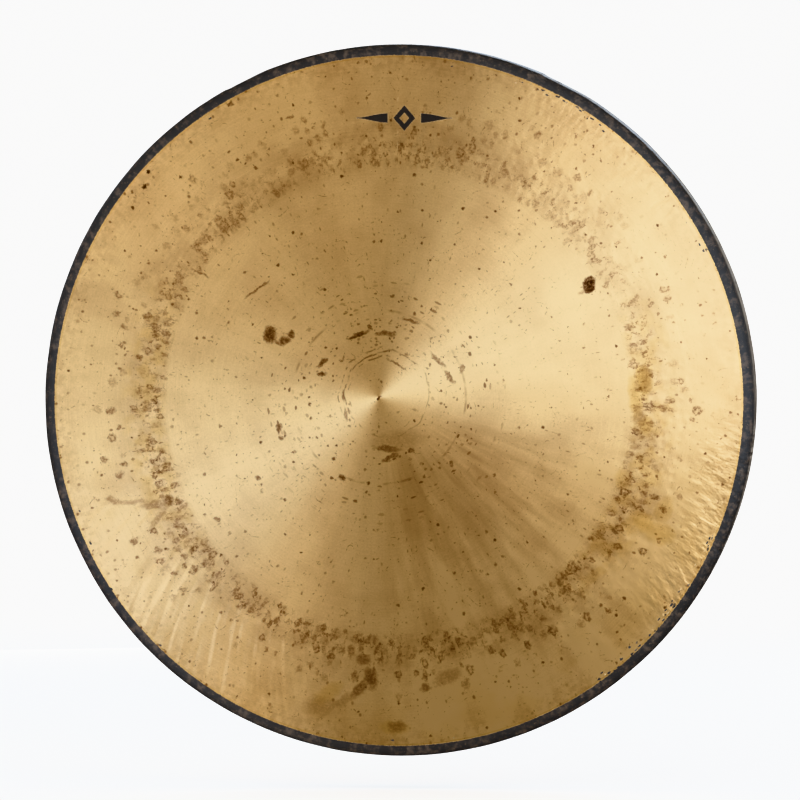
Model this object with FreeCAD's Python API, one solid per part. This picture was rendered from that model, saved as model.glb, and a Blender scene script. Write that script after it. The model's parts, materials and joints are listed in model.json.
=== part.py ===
"""Tam tam gong, 26 inch: one plate of hammered and turned bronze.

Built in millimetres, hanging as it is played: +Z is up and the struck face looks along -Y.
The plate is a slightly crowned round face that turns through a rounded shoulder into a rim, which
runs back and ends in a rounded lip. Two suspension holes go through the rim near the top.
The origin is at the middle of the disc, halfway through its whole depth.
"""
import FreeCAD, Part
import math
import os

from FreeCAD import Vector

# Driving dimensions
outer_diameter = 660.0
rim_depth = 48.0             # from the shoulder's foremost line to the lip
face_crown = 8.0             # how far the middle of the face stands out in front of the shoulder
shoulder_radius = 10.0       # outside of the bend between face and rim
rim_thickness = 1.8
centre_thickness = 2.4       # the sheet is thickest at the middle of the face
hole_diameter = 7.0
hole_angle = 26.5            # each suspension hole's angle from the top, in degrees
lathe_mark_offset = (-17.0, 3.5)   # centre of turning, to the side and up from the disc's middle
lathe_mark_radius = 1.5
lathe_mark_depth = 0.9

# Worked out from them
outer_radius = outer_diameter / 2
inner_radius = outer_radius - rim_thickness
inner_shoulder_radius = shoulder_radius - rim_thickness
bend_centre_radius = outer_radius - shoulder_radius
lip_radius = rim_thickness / 2
total_depth = face_crown + rim_depth
front = -total_depth / 2                 # Y of the middle of the face
shoulder_y = front + face_crown          # Y of the shoulder's foremost line
lip_y = front + total_depth              # Y of the lip's end
hole_y = shoulder_y + (shoulder_radius + rim_depth) / 2


def point(radius, depth):
    """A point of the plate's section, which is drawn in the X-Y plane."""
    return Vector(radius, depth, 0)


def bend_point(bend_radius, angle):
    """A point of the shoulder's bend. The angle is 0 where the bend faces straight forward."""
    return point(
        bend_centre_radius + bend_radius * math.sin(angle),
        shoulder_y + shoulder_radius - bend_radius * math.cos(angle),
    )


def arc(start, middle, end):
    return Part.Arc(start, middle, end).toShape()


def line(start, end):
    return Part.makeLine(start, end)


def face_and_bend(bend_radius, middle_y):
    """The crowned face's arc and the bend's arc that it runs into without a corner.

    Returns the two edges, from the axis outwards. The face's arc has its centre on the axis and
    goes through middle_y there.
    """
    crown = shoulder_y + shoulder_radius - bend_radius - middle_y
    slope = 2 * math.atan(crown / bend_centre_radius)
    face_radius = bend_radius + bend_centre_radius / math.sin(slope)
    halfway = point(
        face_radius * math.sin(slope / 2),
        middle_y + face_radius * (1 - math.cos(slope / 2)),
    )
    meeting = bend_point(bend_radius, slope)
    half_turn = (slope + math.pi / 2) / 2
    return [
        arc(point(0, middle_y), halfway, meeting),
        arc(meeting, bend_point(bend_radius, half_turn), bend_point(bend_radius, math.pi / 2)),
    ]


def plate_section():
    """The closed half section of the plate, from the axis to the rim."""
    wall_y = shoulder_y + shoulder_radius
    lip_start = lip_y - lip_radius
    back_y = front + centre_thickness
    outside = face_and_bend(shoulder_radius, front)
    outside.append(line(point(outer_radius, wall_y), point(outer_radius, lip_start)))
    lip = arc(
        point(outer_radius, lip_start),
        point(outer_radius - lip_radius, lip_y),
        point(inner_radius, lip_start),
    )
    inside = face_and_bend(inner_shoulder_radius, back_y)
    inside.append(line(point(inner_radius, wall_y), point(inner_radius, lip_start)))
    axis_edge = line(point(0, front), point(0, back_y))
    wire = Part.Wire(Part.__sortEdges__(outside + [lip] + inside + [axis_edge]))
    return Part.Face(wire)


def hole_cutter(angle_from_top):
    """A drill through the rim, pointing outwards from the plate's axis."""
    turn = math.radians(angle_from_top)
    outwards = Vector(math.sin(turn), 0, math.cos(turn))
    reach = 10 * rim_thickness
    start = outwards * (outer_radius - reach / 2) + Vector(0, hole_y, 0)
    return Part.makeCylinder(hole_diameter / 2, reach, start, outwards)


def lathe_mark_cutter():
    """The cone that the lathe's centre pressed into the face."""
    side, up = lathe_mark_offset
    start = Vector(side, front, up)
    return Part.makeCone(lathe_mark_radius, 0, lathe_mark_depth, start, Vector(0, 1, 0))


def make_gong_plate():
    plate = plate_section().revolve(Vector(0, 0, 0), Vector(0, 1, 0), 360)
    for side in (-1, 1):
        plate = plate.cut(hole_cutter(side * hole_angle))
    return plate.cut(lathe_mark_cutter())


def write_step(name, shape):
    """Writes one solid to its own file, after testing that it is a single closed body."""
    solids = shape.Solids
    if len(solids) != 1 or not solids[0].isValid():
        raise ValueError(f"{name} is not one valid solid")
    solids[0].exportStep(os.path.join("parts", f"{name}.step"))
    box = solids[0].optimalBoundingBox()
    print(f"{name}: {solids[0].Volume / 1000:.1f} cm3,",
          f"{box.XLength:.1f} x {box.YLength:.1f} x {box.ZLength:.1f} mm")


os.makedirs("parts", exist_ok=True)
write_step("gong_plate", make_gong_plate())
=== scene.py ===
"""Looks of the tam tam gong: one plate of turned, hammered bronze with a dark fired rim.

Metres, in the frame of the design: +Z up, the struck face looks along -Y, the origin is at the
middle of the disc, halfway through its depth.
"""
import json
import math
import random

import bmesh
import bpy
import numpy as np
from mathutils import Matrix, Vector, noise


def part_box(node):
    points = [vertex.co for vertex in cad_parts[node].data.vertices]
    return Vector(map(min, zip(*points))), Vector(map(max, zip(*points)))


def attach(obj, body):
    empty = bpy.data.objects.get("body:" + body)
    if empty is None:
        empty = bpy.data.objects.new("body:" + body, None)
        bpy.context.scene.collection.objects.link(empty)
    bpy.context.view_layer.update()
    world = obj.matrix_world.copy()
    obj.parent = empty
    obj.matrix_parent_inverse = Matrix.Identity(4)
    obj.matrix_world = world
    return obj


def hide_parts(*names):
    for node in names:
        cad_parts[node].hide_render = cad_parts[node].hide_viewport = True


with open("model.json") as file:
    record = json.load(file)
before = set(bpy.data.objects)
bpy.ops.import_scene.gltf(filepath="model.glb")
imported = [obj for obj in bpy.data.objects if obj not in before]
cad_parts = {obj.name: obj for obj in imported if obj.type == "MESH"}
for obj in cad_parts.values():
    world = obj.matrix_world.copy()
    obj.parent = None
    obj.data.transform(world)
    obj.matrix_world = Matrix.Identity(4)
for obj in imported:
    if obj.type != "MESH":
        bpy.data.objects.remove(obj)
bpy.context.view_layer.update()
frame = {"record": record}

MM = 0.001

# The plate's section, as it is designed
node_low, node_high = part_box("gong_plate")
OUTER_R = (node_high.x - node_low.x) / 2
FRONT_Y = node_low.y
LIP_Y = node_high.y
FACE_CROWN = 8 * MM
SHOULDER_R = 10 * MM
RIM_THICKNESS = 1.8 * MM
CENTRE_THICKNESS = 2.4 * MM
INNER_BEND_R = SHOULDER_R - RIM_THICKNESS
INNER_R = OUTER_R - RIM_THICKNESS
WALL_Y = FRONT_Y + FACE_CROWN + SHOULDER_R
LIP_R = RIM_THICKNESS / 2
BEND_CENTRE_R = OUTER_R - SHOULDER_R
LATHE_X, LATHE_Z = -17 * MM, 3.5 * MM       # centre of turning
LATHE_MARK_R = 1.5 * MM
LATHE_MARK_DEPTH = 0.9 * MM

# The mesh
SEGMENTS = 624                 # round the rim, halved again and again towards the middle
HALVINGS = 4
HALVED_WITHIN = 0.15           # radius of the outermost halving, each next one at half of it
CENTRED_WITHIN = 0.02          # rings up to here are round the centre of turning
CENTRED_BEYOND = 0.29          # and from here on round the disc's middle
FACE_STEP = 2.8 * MM
BACK_STEP = 6.5 * MM
WALL_ROWS = 12
SHOULDER_ROWS = 7
LIP_ROWS = 5
PATCH_COLUMNS = 6              # of the wall's grid, opened round each suspension hole
PATCH_ROWS = 6
SEED = 26


# ------------------------------------------------------------------ section of the plate

def smooth(value, low, high):
    """0 below low, 1 above high, and a smooth step between."""
    t = np.clip((value - low) / (high - low), 0, 1)
    return t * t * (3 - 2 * t)


class Crown:
    """The crowned circle of the face, on its outside or its inside."""

    def __init__(self, bend_r, middle_y):
        depth = WALL_Y - bend_r - middle_y
        self.bend_r = bend_r
        self.middle_y = middle_y
        self.slope = 2 * math.atan(depth / BEND_CENTRE_R)
        self.radius = bend_r + BEND_CENTRE_R / math.sin(self.slope)
        self.edge = self.radius * math.sin(self.slope)

    def y(self, r):
        return self.middle_y + self.radius - np.sqrt(self.radius**2 - r**2)

    def tilt(self, r):
        return np.arcsin(r / self.radius)


OUTSIDE = Crown(SHOULDER_R, FRONT_Y)
INSIDE = Crown(INNER_BEND_R, FRONT_Y + CENTRE_THICKNESS)


def face_radii(crown, step):
    """Row radii of a face, from near its middle to where its bend starts."""
    count = round(crown.edge / step)
    fine = [0.5 * MM, 1.0 * MM, LATHE_MARK_R, 2.1 * MM, 3.2 * MM]
    return fine + [crown.edge * k / count for k in range(2, count + 1)]


def bend_rows(crown, count):
    """(radius, y, tilt) round the bend, without the face's own last row."""
    rows = []
    for k in range(1, count + 1):
        tilt = crown.slope + (math.pi / 2 - crown.slope) * k / count
        rows.append((BEND_CENTRE_R + crown.bend_r * math.sin(tilt),
                     WALL_Y - crown.bend_r * math.cos(tilt), tilt))
    return rows


def wall_rows(radius):
    """(radius, y, tilt) along the rim's wall, without the bend's last row."""
    length = LIP_Y - LIP_R - WALL_Y
    return [(radius, WALL_Y + length * k / WALL_ROWS, math.pi / 2) for k in range(1, WALL_ROWS + 1)]


# ------------------------------------------------------------------ the mesh, ring by ring

class Plate:
    """Vertices with the normal that they are moved along, and the faces between them."""

    def __init__(self):
        self.points = []
        self.normals = []
        self.sides = []            # 1 on the outside of the plate, -1 on its inside
        self.faces = []
        self.materials = []

    def vertex(self, point, normal, side):
        self.points.append(point)
        self.normals.append(normal)
        self.sides.append(side)
        return len(self.points) - 1

    def ring(self, count, row):
        """A ring of vertices. row gives a point and a normal for each angle."""
        return [self.vertex(*row(2 * math.pi * k / count)) for k in range(count)]

    def stitch(self, a, b, material, skipped=()):
        """Faces between two rings that have the same count, or one twice the other's."""
        if len(a) == len(b):
            n = len(a)
            made = [(a[k], a[(k + 1) % n], b[(k + 1) % n], b[k]) for k in range(n) if k not in skipped]
        else:
            coarse, fine = (a, b) if len(a) < len(b) else (b, a)
            n = len(coarse)
            made = []
            for k in range(n):
                c, d = coarse[k], coarse[(k + 1) % n]
                e, f, g = fine[2 * k], fine[2 * k + 1], fine[(2 * k + 2) % (2 * n)]
                made += [(c, f, e), (c, d, f), (d, g, f)]
        self.faces += made
        self.materials += [material] * len(made)

    def fan(self, middle, ring, material):
        n = len(ring)
        self.faces += [(middle, ring[k], ring[(k + 1) % n]) for k in range(n)]
        self.materials += [material] * n


def face_row(crown, r, side):
    """Row function of a face, whose rings close in on the centre of turning."""
    pull = 1 - float(smooth(r, CENTRED_WITHIN, CENTRED_BEYOND))

    def at(angle):
        x = LATHE_X * pull + r * math.sin(angle)
        z = LATHE_Z * pull + r * math.cos(angle)
        far = math.hypot(x, z)
        tilt = float(crown.tilt(far))
        y = float(crown.y(far))
        if side > 0 and r < LATHE_MARK_R:
            y += LATHE_MARK_DEPTH * (1 - r / LATHE_MARK_R)
        lean = math.sin(tilt) / far if far else 0
        return (x, y, z), (side * x * lean, -side * math.cos(tilt), side * z * lean), side

    return at


def plain_row(radius, y, tilt, side):
    """Row function of a bend, wall or lip, round the disc's own axis."""

    def at(angle):
        x, z = math.sin(angle), math.cos(angle)
        normal = (side * x * math.sin(tilt), -side * math.cos(tilt), side * z * math.sin(tilt))
        return (radius * x, y, radius * z), normal, side

    return at


def segments_at(r):
    """How many segments a ring of radius r has."""
    halvings = 0
    while halvings < HALVINGS and r < HALVED_WITHIN / 2**halvings:
        halvings += 1
    return SEGMENTS >> halvings


# ------------------------------------------------------------------ suspension holes

class Hole:
    """A suspension hole, as the record's mount gives it."""

    def __init__(self, mount):
        x, y, z = mount["pos_m"]
        self.angle = math.atan2(x, z)
        self.y = y
        self.radius = mount["dims"]["r_mm"] * MM
        step = 2 * math.pi / SEGMENTS
        row_step = (LIP_Y - LIP_R - WALL_Y) / WALL_ROWS
        first_column = round(self.angle / step - PATCH_COLUMNS / 2)
        self.columns = [(first_column + k) % SEGMENTS for k in range(PATCH_COLUMNS + 1)]
        first_row = round((y - WALL_Y) / row_step - PATCH_ROWS / 2)
        self.rows = list(range(first_row, first_row + PATCH_ROWS + 1))

    def border(self, wall):
        """The vertices round the opened patch of a wall's grid, once round."""
        low, high = self.rows[0], self.rows[-1]
        left, right = self.columns[0], self.columns[-1]
        return ([wall[low][c] for c in self.columns]
                + [wall[r][right] for r in self.rows[1:]]
                + [wall[high][c] for c in self.columns[-2::-1]]
                + [wall[r][left] for r in self.rows[-2:0:-1]])

    def circle(self, plate, count, start, radius, wall_r, side, sunk=0.0):
        """A circle of vertices on the wall, round the hole's axis."""
        made = []
        for k in range(count):
            turn = start + 2 * math.pi * k / count
            angle = self.angle + radius * math.cos(turn) / wall_r
            y = self.y + radius * math.sin(turn)
            made.append(plate.vertex(*plain_row(wall_r - side * sunk, y, math.pi / 2, side)(angle)))
        return made

    def mouth(self, plate, wall, wall_r, side, material):
        """Fills the opened patch up to the hole's softened edge and returns that edge's last circle."""
        loop = self.border(wall)
        start = -3 * math.pi / 4          # the border starts at its low left corner
        for radius, sunk in ((1.7, 0.0), (1.3, 0.0), (1.12, 0.05 * MM), (1.0, 0.35 * MM)):
            nearer = self.circle(plate, len(loop), start, radius * self.radius, wall_r, side, sunk)
            plate.stitch(loop, nearer, material)
            loop = nearer
        return loop


# ------------------------------------------------------------------ the whole plate

OUTSIDE_MATERIAL, INSIDE_MATERIAL = 0, 1


def outside_rings(plate):
    """Rings from the middle of the face to the rim's lip, and the wall's own rings among them."""
    rings = [plate.ring(segments_at(r), face_row(OUTSIDE, r, 1)) for r in face_radii(OUTSIDE, FACE_STEP)]
    rings += [plate.ring(SEGMENTS, plain_row(*row, 1)) for row in bend_rows(OUTSIDE, SHOULDER_ROWS)]
    wall = [rings[-1]] + [plate.ring(SEGMENTS, plain_row(*row, 1)) for row in wall_rows(OUTER_R)]
    return rings[:-1] + wall, wall


def lip_rings(plate):
    rings = []
    for k in range(1, LIP_ROWS):
        turn = math.pi * k / LIP_ROWS
        rings.append(plate.ring(SEGMENTS, plain_row(OUTER_R - LIP_R + LIP_R * math.cos(turn),
                                                    LIP_Y - LIP_R + LIP_R * math.sin(turn),
                                                    math.pi / 2 + turn, 1)))
    return rings


def inside_rings(plate):
    """Rings from the middle of the back to the rim's lip, and the wall's own rings among them."""
    rings = [plate.ring(segments_at(r), face_row(INSIDE, r, -1)) for r in face_radii(INSIDE, BACK_STEP)]
    rings += [plate.ring(SEGMENTS, plain_row(*row, -1)) for row in bend_rows(INSIDE, SHOULDER_ROWS)]
    wall = [rings[-1]] + [plate.ring(SEGMENTS, plain_row(*row, -1)) for row in wall_rows(INNER_R)]
    return rings[:-1] + wall, wall


def middle(plate, crown, side):
    return plate.vertex(*face_row(crown, 0.0, side)(0.0))


def build_plate(holes):
    plate = Plate()
    outside, outer_wall = outside_rings(plate)
    lip = lip_rings(plate)
    inside, inner_wall = inside_rings(plate)

    for rings, wall, material in ((outside, outer_wall, OUTSIDE_MATERIAL),
                                  (inside, inner_wall, INSIDE_MATERIAL)):
        first = len(rings) - len(wall)
        for k in range(len(rings) - 1):
            skipped = {c for h in holes if k - first in h.rows[:-1] for c in h.columns[:-1]}
            plate.stitch(rings[k], rings[k + 1], material, skipped)
    for a, b in zip([outside[-1]] + lip, lip + [inside[-1]]):
        plate.stitch(a, b, OUTSIDE_MATERIAL)
    plate.fan(middle(plate, OUTSIDE, 1), outside[0], OUTSIDE_MATERIAL)
    plate.fan(middle(plate, INSIDE, -1), inside[0], INSIDE_MATERIAL)
    for hole in holes:
        near = hole.mouth(plate, outer_wall, OUTER_R, 1, OUTSIDE_MATERIAL)
        far = hole.mouth(plate, inner_wall, INNER_R, -1, INSIDE_MATERIAL)
        plate.stitch(near, far, OUTSIDE_MATERIAL)
    return plate


# ------------------------------------------------------------------ hammering and wear, as shape

def wobble(points, size, seed):
    """Smooth noise at each point, about -1 to 1, with features of the given size."""
    shift = Vector((seed * 7.1, seed * 3.7, seed * 5.3))
    return np.array([noise.fractal(Vector(p) / size + shift, 0.6, 2.0, 1) for p in points])


def blows(draw, count, low_r, high_r, sizes, depths, chance):
    """Hammer blows on the face: (x, z, radius, depth) of each. chance depends on the angle."""
    made = []
    while len(made) < count:
        r = math.sqrt(draw.uniform(low_r**2, high_r**2))
        angle = draw.uniform(0, 2 * math.pi)
        if draw.random() < chance(angle):
            made.append((r * math.sin(angle), r * math.cos(angle),
                         draw.uniform(*sizes), draw.uniform(*depths)))
    return made


def pressed_in(x, z, blow_list):
    """How deep the blows press the face at each point."""
    depth = np.zeros_like(x)
    for bx, bz, radius, deep in blow_list:
        near = np.flatnonzero((np.abs(x - bx) < radius) & (np.abs(z - bz) < radius))
        d2 = ((x[near] - bx)**2 + (z[near] - bz)**2) / radius**2
        depth[near] += deep * np.clip(1 - d2, 0, 1)**2
    return depth


def edge_chance(angle):
    """The outer zone was hammered hardest at the lower right and at the left."""
    return 0.35 + 0.65 * max(math.cos(angle - math.radians(115)), math.cos(angle - math.radians(262)), 0)**2


KNOCK_DEPTH = 0.8 * MM


def knocked_in(angle, holes):
    """How far the rim is knocked in beside each suspension hole, at each angle round it."""
    depth = np.zeros_like(angle)
    for hole in holes:
        along = OUTER_R * ((angle - hole.angle + math.pi) % (2 * math.pi) - math.pi)
        depth += KNOCK_DEPTH * smooth(along, -16 * MM, -12 * MM) * (1 - smooth(along, 2 * MM, 30 * MM))
    return depth


def moved(points, normals, sides, holes):
    """The points after hammering, warping and wear."""
    x, y, z = points.T
    r = np.hypot(x, z)
    angle = np.arctan2(x, z)
    radial = np.stack([np.sin(angle), np.zeros_like(x), np.cos(angle)], axis=1)
    flat = np.stack([x, np.zeros_like(x), z], axis=1)
    draw = random.Random(SEED)
    blow_list = blows(draw, 1500, 0.245, 0.322, (6 * MM, 13 * MM), (0.015 * MM, 0.07 * MM), edge_chance)
    blow_list += blows(draw, 900, 0.03, 0.25, (9 * MM, 20 * MM), (0.01 * MM, 0.05 * MM), lambda a: 1.0)

    on_face = 1 - smooth(r, BEND_CENTRE_R - 4 * MM, OUTER_R)
    shallow = 0.45 * MM * wobble(flat, 0.11, 1) + 0.16 * MM * wobble(flat, 0.042, 2)
    face_y = on_face * (shallow + pressed_in(x, z, blow_list))

    on_rim = smooth(r, BEND_CENTRE_R + 2 * MM, OUTER_R - RIM_THICKNESS)
    rim_points = radial * OUTER_R + np.stack([0 * y, y, 0 * y], axis=1)
    rim_out = 0.55 * MM * wobble(rim_points, 0.19, 3) + 0.28 * MM * wobble(rim_points, 0.026, 4)
    rim_out -= knocked_in(angle, holes)
    lip_y = 0.5 * MM * wobble(rim_points, 0.07, 5) * smooth(y, 0.0, LIP_Y)

    rough = 0.10 * MM * wobble(points, 0.012, 6) * (sides < 0)
    return (points + face_y[:, None] * np.array([0, 1, 0]) + (on_rim * rim_out)[:, None] * radial
            + (on_rim * lip_y)[:, None] * np.array([0, 1, 0]) + rough[:, None] * normals)


def plate_object(name, materials):
    holes = [Hole(m) for m in frame["record"]["mounts"] if m["kind"] == "bore"]
    plate = build_plate(holes)
    points = moved(np.array(plate.points), np.array(plate.normals), np.array(plate.sides), holes)
    mesh = bpy.data.meshes.new(name)
    mesh.from_pydata(points.tolist(), [], plate.faces)
    for material in materials:
        mesh.materials.append(material)
    mesh.polygons.foreach_set("material_index", plate.materials)
    mesh.polygons.foreach_set("use_smooth", [True] * len(mesh.polygons))
    work = bmesh.new()
    work.from_mesh(mesh)
    bmesh.ops.recalc_face_normals(work, faces=work.faces)
    work.to_mesh(mesh)
    work.free()
    made = bpy.data.objects.new(name, mesh)
    bpy.context.scene.collection.objects.link(made)
    return made


# ------------------------------------------------------------------ material recipe

class Recipe:
    """A material's node tree, with short calls for what the materials share."""

    def __init__(self, name):
        self.material = bpy.data.materials.new(name)
        self.material.use_nodes = True
        self.tree = self.material.node_tree
        self.tree.nodes.clear()
        out = self.tree.nodes.new("ShaderNodeOutputMaterial")
        self.shader = self.tree.nodes.new("ShaderNodeBsdfPrincipled")
        self.tree.links.new(self.shader.outputs["BSDF"], out.inputs["Surface"])
        self.place = self.tree.nodes.new("ShaderNodeTexCoord").outputs["Object"]
        self.x, self.y, self.z = self.split(self.place)

        # Where a point is on the disc, round the disc's middle and round the centre of turning
        self.flat = self.join(self.x, self.z, 0.0)
        self.outward, self.r = self.polar(self.x, self.z)
        turned_x, turned_z = self.add(self.x, -LATHE_X), self.add(self.z, -LATHE_Z)
        self.turned_outward, self.turned_r = self.polar(turned_x, turned_z)
        self.tangent = self.join(self.turned_outward[0], 0.0, self.turned_outward[1])
        self.around = self.clockwise(self.x, self.z)
        self.turned_around = self.clockwise(turned_x, turned_z)

    def put(self, socket, value):
        if isinstance(value, bpy.types.NodeSocket):
            self.tree.links.new(value, socket)
        else:
            socket.default_value = value

    def maths(self, operation, *values):
        node = self.tree.nodes.new("ShaderNodeMath")
        node.operation = operation
        for socket, value in zip(node.inputs, values):
            self.put(socket, value)
        return node.outputs[0]

    def add(self, a, b):
        return self.maths("ADD", a, b)

    def less(self, a, b):
        return self.maths("SUBTRACT", a, b)

    def times(self, *values):
        product = values[0]
        for value in values[1:]:
            product = self.maths("MULTIPLY", product, value)
        return product

    def most(self, *values):
        most = values[0]
        for value in values[1:]:
            most = self.maths("MAXIMUM", most, value)
        return most

    def vector(self, operation, *values):
        node = self.tree.nodes.new("ShaderNodeVectorMath")
        node.operation = operation
        for socket, value in zip(node.inputs, values):
            self.put(socket, value)
        return node.outputs["Value" if operation in ("LENGTH", "DOT_PRODUCT", "DISTANCE") else "Vector"]

    def split(self, vector):
        node = self.tree.nodes.new("ShaderNodeSeparateXYZ")
        self.put(node.inputs[0], vector)
        return node.outputs[0], node.outputs[1], node.outputs[2]

    def join(self, x, y, z):
        node = self.tree.nodes.new("ShaderNodeCombineXYZ")
        for socket, value in zip(node.inputs, (x, y, z)):
            self.put(socket, value)
        return node.outputs[0]

    def polar(self, x, z):
        """The direction from a centre, as two numbers, and the distance."""
        far = self.vector("LENGTH", self.join(x, 0.0, z))
        return (self.maths("DIVIDE", x, far), self.maths("DIVIDE", z, far)), far

    def clockwise(self, x, z):
        """The angle round a centre, -pi to pi, with its seam at the top."""
        return self.maths("ARCTAN2", x, self.times(z, -1.0))

    def step(self, value, low, high, to_low=0.0, to_high=1.0):
        """A smooth step from to_low at low to to_high at high."""
        node = self.tree.nodes.new("ShaderNodeMapRange")
        node.interpolation_type = "SMOOTHSTEP"
        for socket, number in zip(node.inputs, (value, low, high, to_low, to_high)):
            self.put(socket, number)
        return node.outputs[0]

    def band(self, value, start, full, fading, end):
        """1 from full to fading, and smoothly down to 0 at start and end."""
        return self.times(self.step(value, start, full), self.step(value, fading, end, 1.0, 0.0))

    def toward(self, direction, clock, half_width):
        """1 near a direction from the centre, which is given in degrees clockwise from the top."""
        a, w = math.radians(clock), math.radians(half_width)
        dot = self.add(self.times(direction[0], math.sin(a)), self.times(direction[1], math.cos(a)))
        return self.step(dot, math.cos(w), math.cos(w / 3))

    def noise(self, vector, size, detail=2.0, roughness=0.5):
        """Noise round 0.5, mostly 0.3 to 0.7, with features of the given size."""
        node = self.tree.nodes.new("ShaderNodeTexNoise")
        for name, value in (("Vector", vector), ("Scale", 1 / size), ("Detail", detail),
                            ("Roughness", roughness)):
            self.put(node.inputs[name], value)
        return node.outputs["Fac"]

    def shaken(self, vector, size, amount):
        """The vector, shifted by up to about amount by noise with features of the given size."""
        node = self.tree.nodes.new("ShaderNodeTexNoise")
        self.put(node.inputs["Vector"], vector)
        self.put(node.inputs["Scale"], 1 / size)
        self.put(node.inputs["Detail"], 1.0)
        centred = self.vector("SUBTRACT", node.outputs["Color"], (0.5, 0.5, 0.5))
        return self.vector("ADD", vector, self.vector("MULTIPLY", centred, (2 * amount,) * 3))

    def cells(self, place, spacing, randomness):
        """Flat cells: the distance to the nearest point, three random numbers of it, and where it is."""
        node = self.tree.nodes.new("ShaderNodeTexVoronoi")
        node.voronoi_dimensions = "2D"
        for name, value in (("Vector", place), ("Scale", 1 / spacing), ("Randomness", randomness)):
            self.put(node.inputs[name], value)
        distance = self.times(node.outputs["Distance"], spacing)
        return distance, self.split(node.outputs["Color"]), self.split(node.outputs["Position"])

    def colour(self, factor, a, b):
        node = self.tree.nodes.new("ShaderNodeMix")
        node.data_type = "RGBA"
        self.put(node.inputs["Factor"], factor)
        for name, value in (("A", a), ("B", b)):
            socket = next(s for s in node.inputs if s.name == name and s.type == "RGBA")
            self.put(socket, value if isinstance(value, bpy.types.NodeSocket) else (*value, 1.0))
        return next(s for s in node.outputs if s.type == "RGBA")

    def filmed(self, metal, film_colour, film):
        """The metal's colour under a film, which lets film_colour through where its thickness is 1."""
        power = self.vector("POWER", film_colour, self.join(film, film, film))
        return self.vector("MULTIPLY", metal, power)

    def bump(self, height, distance, under=None):
        """A bump of the given height in metres for a height value of 1."""
        node = self.tree.nodes.new("ShaderNodeBump")
        self.put(node.inputs["Height"], height)
        node.inputs["Distance"].default_value = distance
        if under is not None:
            self.put(node.inputs["Normal"], under)
        return node.outputs[0]

    def finish(self, **sockets):
        for name, value in sockets.items():
            self.put(self.shader.inputs[name.replace("_", " ")], value)
        return self.material


# ------------------------------------------------------------------ patterns that the materials use

def turning_marks(m, stretch, size, detail, roughness):
    """Noise drawn out round the centre of turning, the more so the smaller stretch is."""
    x, z = m.turned_outward
    return m.noise(m.join(m.turned_r, m.times(x, stretch), m.times(z, stretch)), size, detail, roughness)


def radial_marks(m, direction, far, around, outwards, size, detail, roughness):
    """Noise drawn out along the radius. around and outwards: how fast it changes either way."""
    x, z = direction
    place = m.join(m.times(x, around), m.times(z, around), m.times(far, outwards))
    return m.noise(place, size, detail, roughness)


def slanting_marks(m, turn, outwards, size, detail):
    """Noise drawn out along lines that turn by that many radians for each metre outwards."""
    angle = m.add(m.around, m.times(m.r, -turn))
    place = m.join(m.maths("COSINE", angle), m.maths("SINE", angle), m.times(m.r, outwards))
    return m.noise(place, size, detail)


def marks(m, place, spacing, sizes, chance, hollow=0.0, randomness=0.9, soft=0.5):
    """Random round marks, at most one in each cell, some of them with a paler middle.

    chance is a number, or a function of where the mark's middle is.
    """
    distance, (pick, size_pick, tone), middle = m.cells(place, spacing, randomness)
    radius = m.add(sizes[0], m.times(size_pick, sizes[1] - sizes[0]))
    out = m.maths("DIVIDE", distance, radius)
    shape = m.step(out, 1.15 - soft, 1.15, 1.0, 0.0)
    if hollow:
        open_middle = m.step(out, 0.15, 0.65, hollow, 0.0)
        shape = m.times(shape, m.less(1.0, m.times(open_middle, m.step(tone, 0.80, 0.86))))
    limit = chance(*middle[:2]) if callable(chance) else chance
    there = m.maths("LESS_THAN", pick, limit)
    return m.times(shape, there, m.add(0.22, m.times(tone, tone, 0.78)))


def stain(m, place, x, z, half_length, half_width, turn, thickness):
    """A round or long stain with a soft edge."""
    a = math.radians(turn)
    along = Vector((math.cos(a), math.sin(a), 0.0)) / (half_length * MM)
    across = Vector((-math.sin(a), math.cos(a), 0.0)) / (half_width * MM)
    middle = Vector((x * MM, z * MM, 0.0))
    u = m.less(m.vector("DOT_PRODUCT", place, along), middle.dot(along))
    v = m.less(m.vector("DOT_PRODUCT", place, across), middle.dot(across))
    return m.step(m.maths("MULTIPLY_ADD", u, u, m.times(v, v)), 0.0, 1.8, thickness, 0.0)


def thickest(m, film, place, stains):
    """The film, or the thickest of the stains where that is thicker."""
    for one in stains:
        film = m.most(film, stain(m, place, *one))
    return film


# ------------------------------------------------------------------ turned bronze and the fired rim

GOLD = (0.90, 0.63, 0.30)
BROWN_FILM = (0.34, 0.265, 0.25)    # what a film of thickness 1 lets through
AMBER_FILM = (0.76, 0.64, 0.40)
OXIDE = (0.0150, 0.0136, 0.0130)
RUST_BROWN = (0.050, 0.035, 0.025)
RUBBED_BROWN = (0.11, 0.072, 0.042)
INK = (0.012, 0.010, 0.009)
BLUE_SCALE = (0.030, 0.031, 0.036)
BROWN_SCALE = (0.062, 0.042, 0.030)

PRINT_RING_R = 0.232
PRINT_STRETCH = 0.7    # the prints are drawn out along the radius by 1 / this
INK_X, INK_Z = 6 * MM, 262 * MM
WORN_RING_X, WORN_RING_Z = -9.4 * MM, 6.2 * MM

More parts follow.
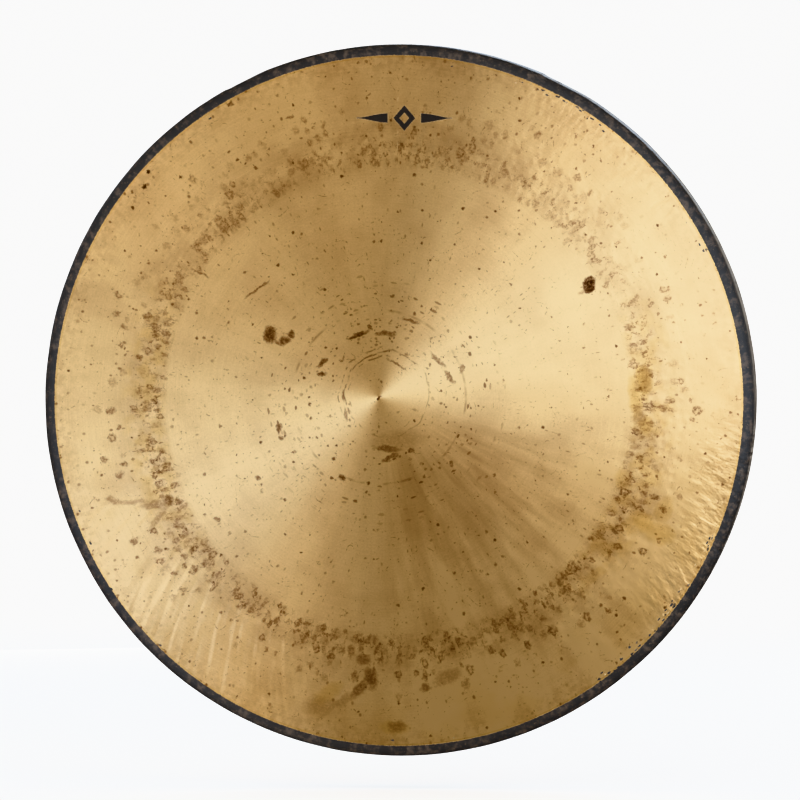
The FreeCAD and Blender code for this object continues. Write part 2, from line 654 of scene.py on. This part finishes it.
# Stains on the face: x, z, half length, half width in mm, turn in degrees, thickness
STAINS = [
    # The blots at the upper right and upper left, and the centre of turning
    (178, 108, 5.5, 6.5, 0, 2.9), (171, 102, 5, 2, 35, 0.5),
    (-118.5, 61, 5.5, 7, 0, 1.7), (-104.5, 56, 5, 3.8, 0, 1.4), (-99, 62, 3.5, 3, 45, 1.4),
    (-111, 54, 5, 1.6, -30, 0.8), (LATHE_X / MM, LATHE_Z / MM, 1.8, 1.8, 0, 2.5),
    # Below the prints at the bottom
    (-25, -257, 5.5, 10, 10, 1.0), (-32, -240, 6, 5, 0, 0.7), (-36, -267, 10, 4, 45, 0.8),
    (-52, -279, 26, 4, 28, 0.3), (-1, -302, 8, 5, 5, 0.6), (26, -266, 5, 4, 30, 0.8),
    (44, -257, 15, 7, 30, 0.35), (-72, -284, 16, 9, 0, 0.25), (-118, -262, 18, 14, 0, 0.12),
    # Far left and far right
    (-213, -93, 5, 5, 0, 1.1), (-226, -97, 14, 4, 8, 0.5), (-266, -94, 7, 3, -30, 0.5),
    (-250, -95, 20, 2.2, 3, 0.35), (-222, -108, 14, 3, 55, 0.4),
    (230, 19, 6, 11, 0, 0.35), (232, 29, 6, 3, 0, 0.5), (225, -14, 6, 6, 0, 0.4),
    (236, -115, 20, 15, -20, 0.12),
    # Single spots outside the turned middle
    (-233, 211, 1.9, 1.9, 0, 2.4), (-236, 198, 2.2, 2.1, 0, 2.4), (-156, 275, 2.4, 2.2, 0, 1.2),
    (-100, 263, 3.0, 1.6, 15, 0.8), (-132, 215, 1.8, 1.6, 0, 1.2), (-131, 103, 13, 1.1, 35, 0.9),
    (-184, 118, 9, 1.2, -25, 0.7), (-168, -110, 3, 2, 0, 0.8),
    (-110, -26, 3, 4, 0, 1.2), (-108, -34, 2.2, 2.2, 0, 1.0), (-130, -71, 2.6, 2.0, 0, 1.0),
    # Dashes and smears round the middle
    (-52, -71, 3.4, 3.4, 0, 1.5), (-26, 68, 2, 2, 0, 1.2), (-37, 61, 10, 1.8, 22, 1.6),
    (-11, 62, 9, 2.4, 0, 0.9), (-70, 36, 6, 2.2, 45, 1.4), (-70, 25, 3.4, 1.8, 20, 1.6),
    (50, -58, 2, 2, 0, 0.9), (-7, -52, 8, 2, 25, 1.1), (12, -45, 3, 3, 0, 1.1),
    (0, 34, 9, 1.2, -30, 0.8), (2, -36, 24, 9, 8, 0.20), (-36, 24, 9, 14, -40, 0.10),
    (-48, -12, 1.6, 7, 5, 0.7), (12, 74, 8, 1.6, -15, 0.9), (38, 38, 9, 2.0, -40, 0.8),
    (48, 22, 7, 2.0, -50, 0.9), (60, 30, 2, 5, 0, 0.8), (-10, -44, 12, 2.6, -8, 0.9),
]

AMBER_STAINS = [
    (228, 20, 8, 15, 0, 0.8), (221, 4, 6, 22, 5, 0.55), (230, -22, 8, 10, 10, 0.6),
    (228, -112, 14, 9, -40, 0.55), (242, -121, 16, 10, -20, 0.4), (246, -100, 8, 12, -30, 0.35),
    (210, -72, 8, 10, 10, 0.35), (-66, -272, 16, 7, 35, 0.3), (-5, -303, 14, 7, 0, 0.35),
]


def unrolled(m):
    """The ring of prints as a straight strip: the way along it and the radius."""
    return m.join(m.times(m.around, PRINT_RING_R), m.r, 0.0)


def hammer_prints(m, patches):
    """The film in the hammer's prints, in rings just outside the turned middle, crowded in places."""

    def crowded(along):
        return m.step(m.noise(m.join(along, 0.0, 0.0), 32 * MM), 0.36, 0.60, 0.40, 1.15)

    def chance(along, stretched_r):
        r = m.maths("DIVIDE", stretched_r, PRINT_STRETCH)
        rings = m.most(m.times(m.band(r, 0.214, 0.224, 0.235, 0.243), 0.80),
                       m.times(m.band(r, 0.234, 0.243, 0.264, 0.284), 0.34))
        off_seam = m.step(m.maths("ABSOLUTE", along), 0.715, 0.722, 1.0, 0.0)
        return m.times(rings, crowded(along), off_seam)

    strip = unrolled(m)
    drawn_out = m.vector("MULTIPLY", strip, (1.0, PRINT_STRETCH, 0.0))
    spread = m.shaken(m.shaken(drawn_out, 6.0 * MM, 2.2 * MM), 2.4 * MM, 2.0 * MM)
    film = marks(m, spread, 7.6 * MM, (2.0 * MM, 4.4 * MM), chance, hollow=0.8, randomness=0.85, soft=0.8)
    elsewhere = m.vector("ADD", spread, (3.3, 0.0, 0.0))
    small = marks(m, elsewhere, 5.0 * MM, (1.0 * MM, 2.7 * MM), chance, soft=0.8)
    film = m.most(film, m.times(small, 0.9))
    smudges = m.times(m.step(m.noise(spread, 7.0 * MM, 3.0, 0.65), 0.50, 0.64),
                      crowded(m.split(strip)[0]), m.band(m.r, 0.214, 0.225, 0.236, 0.250))
    film = m.most(film, m.times(smudges, 0.72))
    lower = m.step(m.outward[1], 0.6, -0.1, 0.66, 1.0)
    return m.times(film, m.step(patches, 0.36, 0.62, 0.30, 1.25), lower, 1.25)


def specks(m, film):
    """Specks in groups, thickest round the turned middle, and finer ones everywhere."""

    def chance(x, z):
        far = m.vector("LENGTH", m.join(m.add(x, -LATHE_X), m.add(z, -LATHE_Z), 0.0))
        groups = m.step(m.noise(m.join(x, z, 0.0), 24 * MM), 0.40, 0.66, 0.45, 2.1)
        return m.times(m.most(m.times(m.band(far, 0.036, 0.050, 0.080, 0.110), 0.34), 0.11), groups)

    shaken = m.shaken(m.flat, 3.0 * MM, 1.6 * MM)
    large = marks(m, shaken, 7.5 * MM, (0.6 * MM, 1.9 * MM), chance, soft=0.9)
    film = m.most(film, m.times(large, 1.6))
    elsewhere = m.vector("ADD", shaken, (0.5, 0.3, 0.0))
    fine = marks(m, elsewhere, 3.6 * MM, (0.4 * MM, 0.9 * MM), 0.16, soft=0.9)
    return m.most(film, m.times(fine, 0.7))


def dashes(m, film):
    """Short marks: along the radius in the outer zone, and round the centre of turning in the middle."""
    outwards = m.shaken(m.join(m.times(m.around, 0.16), m.times(m.r, 0.42), 0.0), 4 * MM, 0.6 * MM)
    strokes = m.times(marks(m, outwards, 5.0 * MM, (0.4 * MM, 1.0 * MM), 0.24, soft=0.9),
                      m.step(m.r, 0.08, 0.12))
    film = m.most(film, m.times(strokes, m.step(m.r, 0.20, 0.23, 0.6, 0.9)))
    around = m.shaken(m.join(m.times(m.turned_around, 0.045), m.turned_r, 0.0), 4 * MM, 1.3 * MM)
    curved = m.times(marks(m, around, 5.0 * MM, (0.6 * MM, 1.4 * MM), 0.24),
                     m.band(m.turned_r, 0.036, 0.048, 0.09, 0.13))
    return m.most(film, m.times(curved, 1.1))


def scratches(m, film):
    """Fine curved scratches: pieces of the level lines of some noise."""
    levels = m.maths("PINGPONG", m.noise(m.flat, 34 * MM, 1.0), 0.045)
    patchy = m.step(m.noise(m.vector("ADD", m.flat, (1.3, 0.4, 0.0)), 15 * MM, 2.0, 0.6), 0.54, 0.64)
    broken = m.step(m.noise(m.vector("ADD", m.flat, (0.2, 1.4, 0.0)), 2.4 * MM, 2.0, 0.6), 0.45, 0.60)
    return m.most(film, m.times(m.step(levels, 0.0015, 0.0075, 1.0, 0.0), patchy, broken, 0.60))


def worn_rings(m, film):
    """Rings worn round the middle, clearest at its upper left."""
    ring_r = m.vector("DISTANCE", m.shaken(m.flat, 22 * MM, 4.2 * MM), (WORN_RING_X, WORN_RING_Z, 0.0))
    x, z = m.turned_outward
    upper_left = m.step(m.add(m.times(x, -0.7), m.times(z, 0.7)), -0.3, 0.9, 0.30, 0.95)
    worn = m.times(m.band(ring_r, 38.1 * MM, 38.9 * MM, 39.1 * MM, 40.1 * MM), upper_left,
                   m.step(m.noise(m.flat, 8 * MM), 0.40, 0.6, 0.0, 1.2))
    beside = m.band(m.maths("PINGPONG", ring_r, 2.1 * MM), 1.1 * MM, 1.8 * MM, 3 * MM, 4 * MM)
    beside = m.times(beside, m.band(ring_r, 33 * MM, 36 * MM, 43 * MM, 47 * MM),
                     m.step(upper_left, 0.6, 0.9),
                     m.step(m.noise(m.vector("ADD", m.flat, (0.7, 0.0, 0.0)), 7 * MM), 0.46, 0.62))
    outer_ring = m.times(m.band(m.turned_r, 79.0 * MM, 80.3 * MM, 80.7 * MM, 82.4 * MM),
                         m.step(m.noise(m.flat, 18 * MM), 0.45, 0.65, 0.0, 0.4))
    return m.most(film, worn, m.times(beside, 0.8), outer_ring)


def haze(m, film, cloud):
    """A thin film under the prints, near the edge and in clouds."""
    rays = radial_marks(m, m.outward, m.r, 0.09, 0.5, 9 * MM, 3.0, 0.6)
    film = m.add(film, m.times(m.band(m.r, 0.208, 0.228, 0.243, 0.272), m.step(rays, 0.30, 0.70), 0.20))
    mottled = m.step(m.noise(m.flat, 6 * MM, 3.0), 0.40, 0.62)
    film = m.add(film, m.times(m.step(m.r, 0.290, 0.318), mottled, 0.13))
    return m.add(film, m.times(m.step(cloud, 0.40, 0.75, 0.0, 0.14), m.step(m.turned_r, 0.02, 0.05)))


def amber_film(m, cloud, spoiled):
    """The amber film: in the ring of prints, at the lower edge, in stains and beside the rim."""
    amber_ring = m.most(m.toward(m.outward, 103, 42), m.toward(m.outward, 262, 40))
    edge = m.times(m.step(m.r, 0.255, 0.300), m.step(m.outward[1], 0.3, -0.5), m.step(cloud, 0.40, 0.62))
    ring = m.times(m.band(m.r, 0.212, 0.226, 0.246, 0.262), amber_ring,
                   m.step(m.noise(m.flat, 16 * MM), 0.40, 0.62))
    amber = thickest(m, m.add(m.times(edge, 0.12), m.times(ring, 0.30)), spoiled, AMBER_STAINS)
    return m.most(amber, m.step(m.r, BEND_CENTRE_R - 2.4 * MM, BEND_CENTRE_R - 0.8 * MM, 0.0, 0.4))


def ink_mark(m):
    """A plain printed ornament near the top: a lozenge between two tapering bars."""
    x, z, _ = m.split(m.shaken(m.flat, 2.5 * MM, 0.3 * MM))
    far_x = m.maths("ABSOLUTE", m.add(x, -INK_X))
    far_z = m.maths("ABSOLUTE", m.add(z, -INK_Z))
    diagonal = m.add(m.times(far_x, 1.15), far_z)
    lozenge = m.band(diagonal, 4.6 * MM, 5.4 * MM, 11.6 * MM, 12.2 * MM)
    half_height = m.step(far_x, 15 * MM, 45 * MM, 4.6 * MM, 0.5 * MM)
    bar = m.times(m.step(m.less(far_z, half_height), -0.3 * MM, 0.3 * MM, 1.0, 0.0),
                  m.band(far_x, 15 * MM, 15.6 * MM, 44 * MM, 45 * MM))
    return m.most(lozenge, bar)


def oxide_chips(m):
    """Chips of the rim's colour in the gold beside it, thickest at four places."""
    zone = m.most(m.toward(m.outward, 28, 12), m.toward(m.outward, 61, 4),
                  m.toward(m.outward, 132, 15), m.toward(m.outward, 113, 4), 0.05)
    place = m.shaken(m.join(m.times(m.around, 0.17), m.r, 0.0), 2 * MM, 0.9 * MM)
    return marks(m, place, 2.8 * MM, (0.6 * MM, 1.3 * MM),
                 lambda _, r: m.times(m.band(r, 0.312, 0.3155, 0.319, 0.321), zone, 0.8))


def fired_rim(m):
    """Near-black oxide with rust brown and rubbed places."""
    wrapped = m.join(m.times(m.around, 0.32), m.y, m.times(m.r, 0.6))
    rust = m.step(m.noise(wrapped, 7 * MM, 4.0, 0.75), 0.47, 0.66, 0.0, 0.9)
    rubbed = m.step(m.noise(wrapped, 1.8 * MM, 2.0, 0.6), 0.63, 0.74, 0.0, 0.6)
    return m.colour(rubbed, m.colour(rust, OXIDE, RUST_BROWN), RUBBED_BROWN)


def turned_bronze():
    """The face and the outside of the rim."""
    m = Recipe("turned_bronze_and_fired_rim")
    grain = m.noise(m.flat, 1.7 * MM, 3.0, 0.65)
    patches = m.noise(m.flat, 2.6 * MM, 3.0, 0.65)
    film = hammer_prints(m, patches)
    film = specks(m, film)
    film = dashes(m, film)
    film = scratches(m, film)
    spoiled = m.shaken(m.shaken(m.flat, 7 * MM, 3.0 * MM), 2.2 * MM, 1.2 * MM)
    blotches = thickest(m, 0.0, spoiled, STAINS)
    film = m.most(film, m.times(blotches, m.step(patches, 0.36, 0.58, 0.50, 1.12)))
    film = worn_rings(m, film)
    cloud = m.noise(m.flat, 55 * MM, 3.0, 0.55)
    film = haze(m, film, cloud)

    # Turning marks, and streaks along the radius, strongest at the lower right
    rings = turning_marks(m, 0.004, 1.3 * MM, 4.0, 0.7)
    narrow = radial_marks(m, m.turned_outward, m.turned_r, 0.10, 0.12, 4.2 * MM, 3.0, 0.55)
    broad = radial_marks(m, m.turned_outward, m.turned_r, 0.10, 0.10, 13 * MM, 2.0, 0.5)
    streaks = m.add(m.times(narrow, 0.35), m.times(broad, 0.65))
    lower_right = m.toward(m.turned_outward, 140, 44)
    streaky = m.times(m.step(m.turned_r, 0.03, 0.09), m.add(0.25, m.times(lower_right, 0.90)))

    # Slanting strokes of the hammer in the outer zone, and long folds at the lower left
    hammered = m.most(m.times(m.toward(m.outward, 112, 24), 2.3), m.toward(m.outward, 290, 32),
                      m.times(m.toward(m.outward, 46, 34), 0.9), 0.25)
    slanted = m.times(slanting_marks(m, -0.6, 1.7, 25 * MM, 2.0), m.step(m.r, 0.262, 0.312), hammered)
    folds = m.times(slanting_marks(m, 1.6, 0.55, 36 * MM, 1.0), m.step(m.r, 0.215, 0.262),
                    m.toward(m.outward, 226, 36))

    # The radial streaks are painted lighter and darker into the film: painted sheen of the same waves that
    # the bump below raises as shape
    film = m.add(film, m.times(m.less(0.5, streaks), streaky))
    # Painted shade and painted light: the film is thicker in a band round the middle at the lower right
    # (painted shade), thinner in the outer zone at the lower right (painted light) and thicker in the outer
    # zone at the top (painted shade)
    film = m.add(film, m.times(lower_right, m.band(m.turned_r, 0.045, 0.085, 0.125, 0.190), 0.22))
    film = m.less(film, m.times(lower_right, m.step(m.r, 0.225, 0.255), 0.12))
    film = m.add(film, m.times(m.toward(m.outward, 2, 20), m.step(m.r, 0.225, 0.255), 0.10))
    film = m.add(film, m.times(m.less(grain, 0.5), 0.32))
    film = m.add(film, m.times(m.less(rings, 0.5), m.step(m.r, 0.10, 0.30, 0.15, 0.24)))
    film = m.most(m.add(film, 0.04), 0.0)

    ink = ink_mark(m)
    # The brown film here holds the real tarnish and marks, and also the painted shade, painted light and
    # painted sheen added to it above
    gold = m.filmed(m.filmed(GOLD, BROWN_FILM, film), AMBER_FILM, amber_film(m, cloud, spoiled))
    gold = m.colour(ink, gold, INK)
    ragged = m.add(m.r, m.times(m.less(m.noise(m.flat, 2.2 * MM, 3.0, 0.7), 0.5), 1.8 * MM))
    dark = m.most(m.step(ragged, BEND_CENTRE_R - 0.25 * MM, BEND_CENTRE_R + 0.25 * MM),
                  m.step(oxide_chips(m), 0.3, 0.5))

    dimple = m.step(m.cells(unrolled(m), 9.0 * MM, 0.7)[0], 0.0, 5 * MM)
    dimples = m.times(dimple, m.band(m.r, 0.205, 0.225, 0.262, 0.290))
    fine = m.bump(m.add(m.times(rings, 0.12), dimples), 0.08 * MM)
    waves = m.bump(m.add(m.times(streaks, streaky), m.add(m.times(slanted, 3.0), m.times(folds, 6.0))),
                   0.12 * MM, fine)
    return m.finish(Base_Color=m.colour(dark, gold, fired_rim(m)),
                    Metallic=m.less(1.0, m.most(dark, m.times(ink, 0.9))),
                    Roughness=m.add(0.36, m.times(dark, 0.22)),
                    Anisotropic=0.8, Tangent=m.tangent, Normal=waves)


# ------------------------------------------------------------------ skimmed back

def fire_scale(m, cloud, grain):
    """Blue-black and brown scale, with rust and rubbed places."""
    scale = m.colour(m.step(cloud, 0.36, 0.66), BLUE_SCALE, BROWN_SCALE)
    scale = m.colour(m.step(grain, 0.46, 0.70, 0.0, 0.8), scale, RUST_BROWN)
    wrapped = m.join(m.times(m.around, 0.32), m.y, m.times(m.r, 0.6))
    rubbed = m.step(m.noise(wrapped, 3.2 * MM, 3.0, 0.7), 0.60, 0.74, 0.0, 0.7)
    return m.colour(rubbed, scale, RUBBED_BROWN)


def skimmed_back():
    """The back and the inside of the rim: turned more coarsely than the face, with fire scale left on."""
    m = Recipe("skimmed_back_and_fired_rim")
    cloud = m.noise(m.place, 70 * MM, 4.0, 0.6)
    grain = m.noise(m.place, 2.4 * MM, 4.0, 0.7)
    bands = turning_marks(m, 0.012, 9 * MM, 3.0, 0.6)
    grooves = turning_marks(m, 0.004, 1.5 * MM, 4.0, 0.75)
    shaken = m.shaken(m.shaken(m.flat, 12 * MM, 4 * MM), 3 * MM, 1.6 * MM)

    # Dents of the hammer, and the scale that the lathe didn't reach in the deepest
    dent, (deep, _, _), _ = m.cells(shaken, 19 * MM, 0.75)
    hollow = m.step(dent, 1 * MM, 9 * MM, 1.0, 0.0)
    missed = m.times(m.step(dent, 2.2 * MM, 3.4 * MM, 1.0, 0.0), m.step(deep, 0.88, 0.93))
    spots = marks(m, shaken, 7.0 * MM, (0.5 * MM, 1.6 * MM), 0.20, soft=0.9)

    film = m.add(m.step(cloud, 0.34, 0.70, 0.10, 0.62), m.times(m.less(bands, 0.5), 0.55))
    film = m.add(film, m.add(m.times(m.less(grooves, 0.5), 0.45), m.times(m.less(0.5, grain), 0.30)))
    film = m.add(film, m.times(hollow, m.step(deep, 0.45, 0.95), 0.40))
    film = m.most(m.add(film, m.step(m.r, 0.225, 0.300, 0.0, 0.45)), m.times(spots, 1.5), 0.0)
    metal = m.filmed(GOLD, BROWN_FILM, film)

    # The scale is whole outside the last cut of the lathe
    last_cut = m.add(m.r, m.add(m.times(m.less(cloud, 0.5), 0.030), m.times(m.less(grain, 0.5), 0.010)))
    last_cut = m.add(last_cut, m.times(m.less(bands, 0.5), 0.018))
    scaled = m.most(m.step(last_cut, 0.296, 0.300), missed)

    dents = m.bump(m.less(m.times(hollow, -1.0), missed), 0.30 * MM)
    roughened = m.times(grain, m.add(0.15, m.times(scaled, 0.8)))
    fine = m.bump(m.add(roughened, m.times(grooves, 0.5)), 0.10 * MM, dents)
    return m.finish(Base_Color=m.colour(scaled, metal, fire_scale(m, cloud, grain)),
                    Metallic=m.less(1.0, scaled), Roughness=m.add(0.38, m.times(scaled, 0.18)),
                    Anisotropic=0.7, Tangent=m.tangent, Normal=fine)


# ------------------------------------------------------------------ light, floor and camera

def camera(azimuth, elevation, distance, frame_width):
    """A long lens that looks at the origin and sees frame_width there."""
    a, e = math.radians(azimuth), math.radians(elevation)
    back = Vector((math.sin(a) * math.cos(e), -math.cos(a) * math.cos(e), math.sin(e)))
    data = bpy.data.cameras.new("camera")
    data.sensor_width = 36.0
    data.lens = data.sensor_width * distance / frame_width
    data.clip_end = 1000.0
    made = bpy.data.objects.new("camera", data)
    made.location = back * distance
    made.rotation_mode = "QUATERNION"
    made.rotation_quaternion = (-back).to_track_quat("-Z", "Y")
    bpy.context.scene.collection.objects.link(made)
    bpy.context.scene.camera = made


BLUE = (0.60, 0.73, 1.0)
COOL = (0.66, 0.81, 1.0)
PALE = (0.85, 0.92, 1.0)
NEUTRAL = (1.0, 0.99, 0.96)
WARM = (1.0, 0.90, 0.77)
WARM_ROOM = (1.0, 0.86, 0.72)

LIGHT_DISTANCE = 2.2

# In front: degrees clockwise from the top, how far out of 1 from the middle, watts, tint
FRONT_LIGHTS = {
    "key": (60, 0.42, 11.3, COOL),
    "right": (90, 0.63, 18.7, COOL),
    "right_low": (120, 0.42, 2.3, WARM),
    "low": (210, 0.82, 7.2, WARM),
    "left_low": (240, 0.63, 8.8, BLUE),
    "left": (270, 0.63, 3.8, PALE),
    "left_high": (300, 0.63, 4.3, NEUTRAL),
    "above": (330, 0.42, 2.0, WARM),
    "high": (30, 0.63, 6.8, NEUTRAL),
}

# Behind: direction from the gong, watts, tint, side of the square
REAR_LIGHTS = {
    "rear_left": ((-0.75, 0.60, 0.30), 9.0, COOL, 1.2),
    "rear_right": ((0.55, 0.80, 0.15), 9.0, WARM, 1.0),
    "rear_above": ((0.10, 0.90, 0.45), 9.0, COOL, 0.7),
    "rear_low": ((-0.35, 0.90, -0.25), 5.0, NEUTRAL, 0.7),
}


def softbox(name, towards, power, tint, size=0.7):
    """A square light that faces the gong from the given direction."""
    towards = Vector(towards).normalized()
    data = bpy.data.lights.new(name, "AREA")
    data.shape = "SQUARE"
    data.size = size
    data.energy = power
    data.color = tint
    made = bpy.data.objects.new(name, data)
    made.visible_camera = False
    made.location = towards * LIGHT_DISTANCE
    made.rotation_mode = "QUATERNION"
    made.rotation_quaternion = towards.to_track_quat("Z", "Y")
    bpy.context.scene.collection.objects.link(made)


def from_front(clock, out):
    """The direction of a place that is seen that far out of 1 from the gong's middle."""
    a = math.radians(clock)
    return out * math.sin(a), -math.sqrt(1 - out**2), out * math.cos(a)


def sky(plain, reflected):
    """Even light from all round: plain on the floor and background, reflected in the metal."""
    world = bpy.data.worlds.new("studio")
    world.use_nodes = True
    tree = world.node_tree
    tree.nodes.clear()
    out = tree.nodes.new("ShaderNodeOutputWorld")
    path = tree.nodes.new("ShaderNodeLightPath")
    mixed = tree.nodes.new("ShaderNodeMixShader")
    tree.links.new(path.outputs["Is Glossy Ray"], mixed.inputs[0])
    for slot, strength, tint in ((1, plain, (1.0, 1.0, 1.0)), (2, reflected, WARM_ROOM)):
        light = tree.nodes.new("ShaderNodeBackground")
        light.inputs["Strength"].default_value = strength
        light.inputs["Color"].default_value = (*tint, 1.0)
        tree.links.new(light.outputs[0], mixed.inputs[slot])
    tree.links.new(mixed.outputs[0], out.inputs["Surface"])
    bpy.context.scene.world = world


def studio_floor(half, drop):
    """A plain pale square, drop below the gong's lowest point."""
    z = node_low.z - drop
    corners = [(-half, -half, z), (half, -half, z), (half, half, z), (-half, half, z)]
    mesh = bpy.data.meshes.new("floor")
    mesh.from_pydata(corners, [], [(0, 1, 2, 3)])
    floor = bpy.data.objects.new("floor", mesh)
    floor.visible_glossy = False
    floor.visible_shadow = False                # some of the softboxes shine up from below it
    bpy.context.scene.collection.objects.link(floor)
    paint = bpy.data.materials.new("pale_floor")
    paint.use_nodes = True
    shader = paint.node_tree.nodes["Principled BSDF"]
    shader.inputs["Base Color"].default_value = (0.86, 0.86, 0.86, 1.0)
    shader.inputs["Roughness"].default_value = 0.9
    mesh.materials.append(paint)


gong = plate_object("gong_plate_turned", [turned_bronze(), skimmed_back()])
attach(gong, "root")
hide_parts("gong_plate")

camera(azimuth=5.0, elevation=2.3, distance=12.0, frame_width=0.7422)
sky(plain=2.3, reflected=0.227)
for name, (clock, out, power, tint) in FRONT_LIGHTS.items():
    softbox(name, from_front(clock, out), power, tint)
for name, (towards, power, tint, size) in REAR_LIGHTS.items():
    softbox(name, towards, power, tint, size)
studio_floor(half=150.0, drop=0.03)
bpy.context.scene.view_settings.view_transform = "Khronos PBR Neutral"
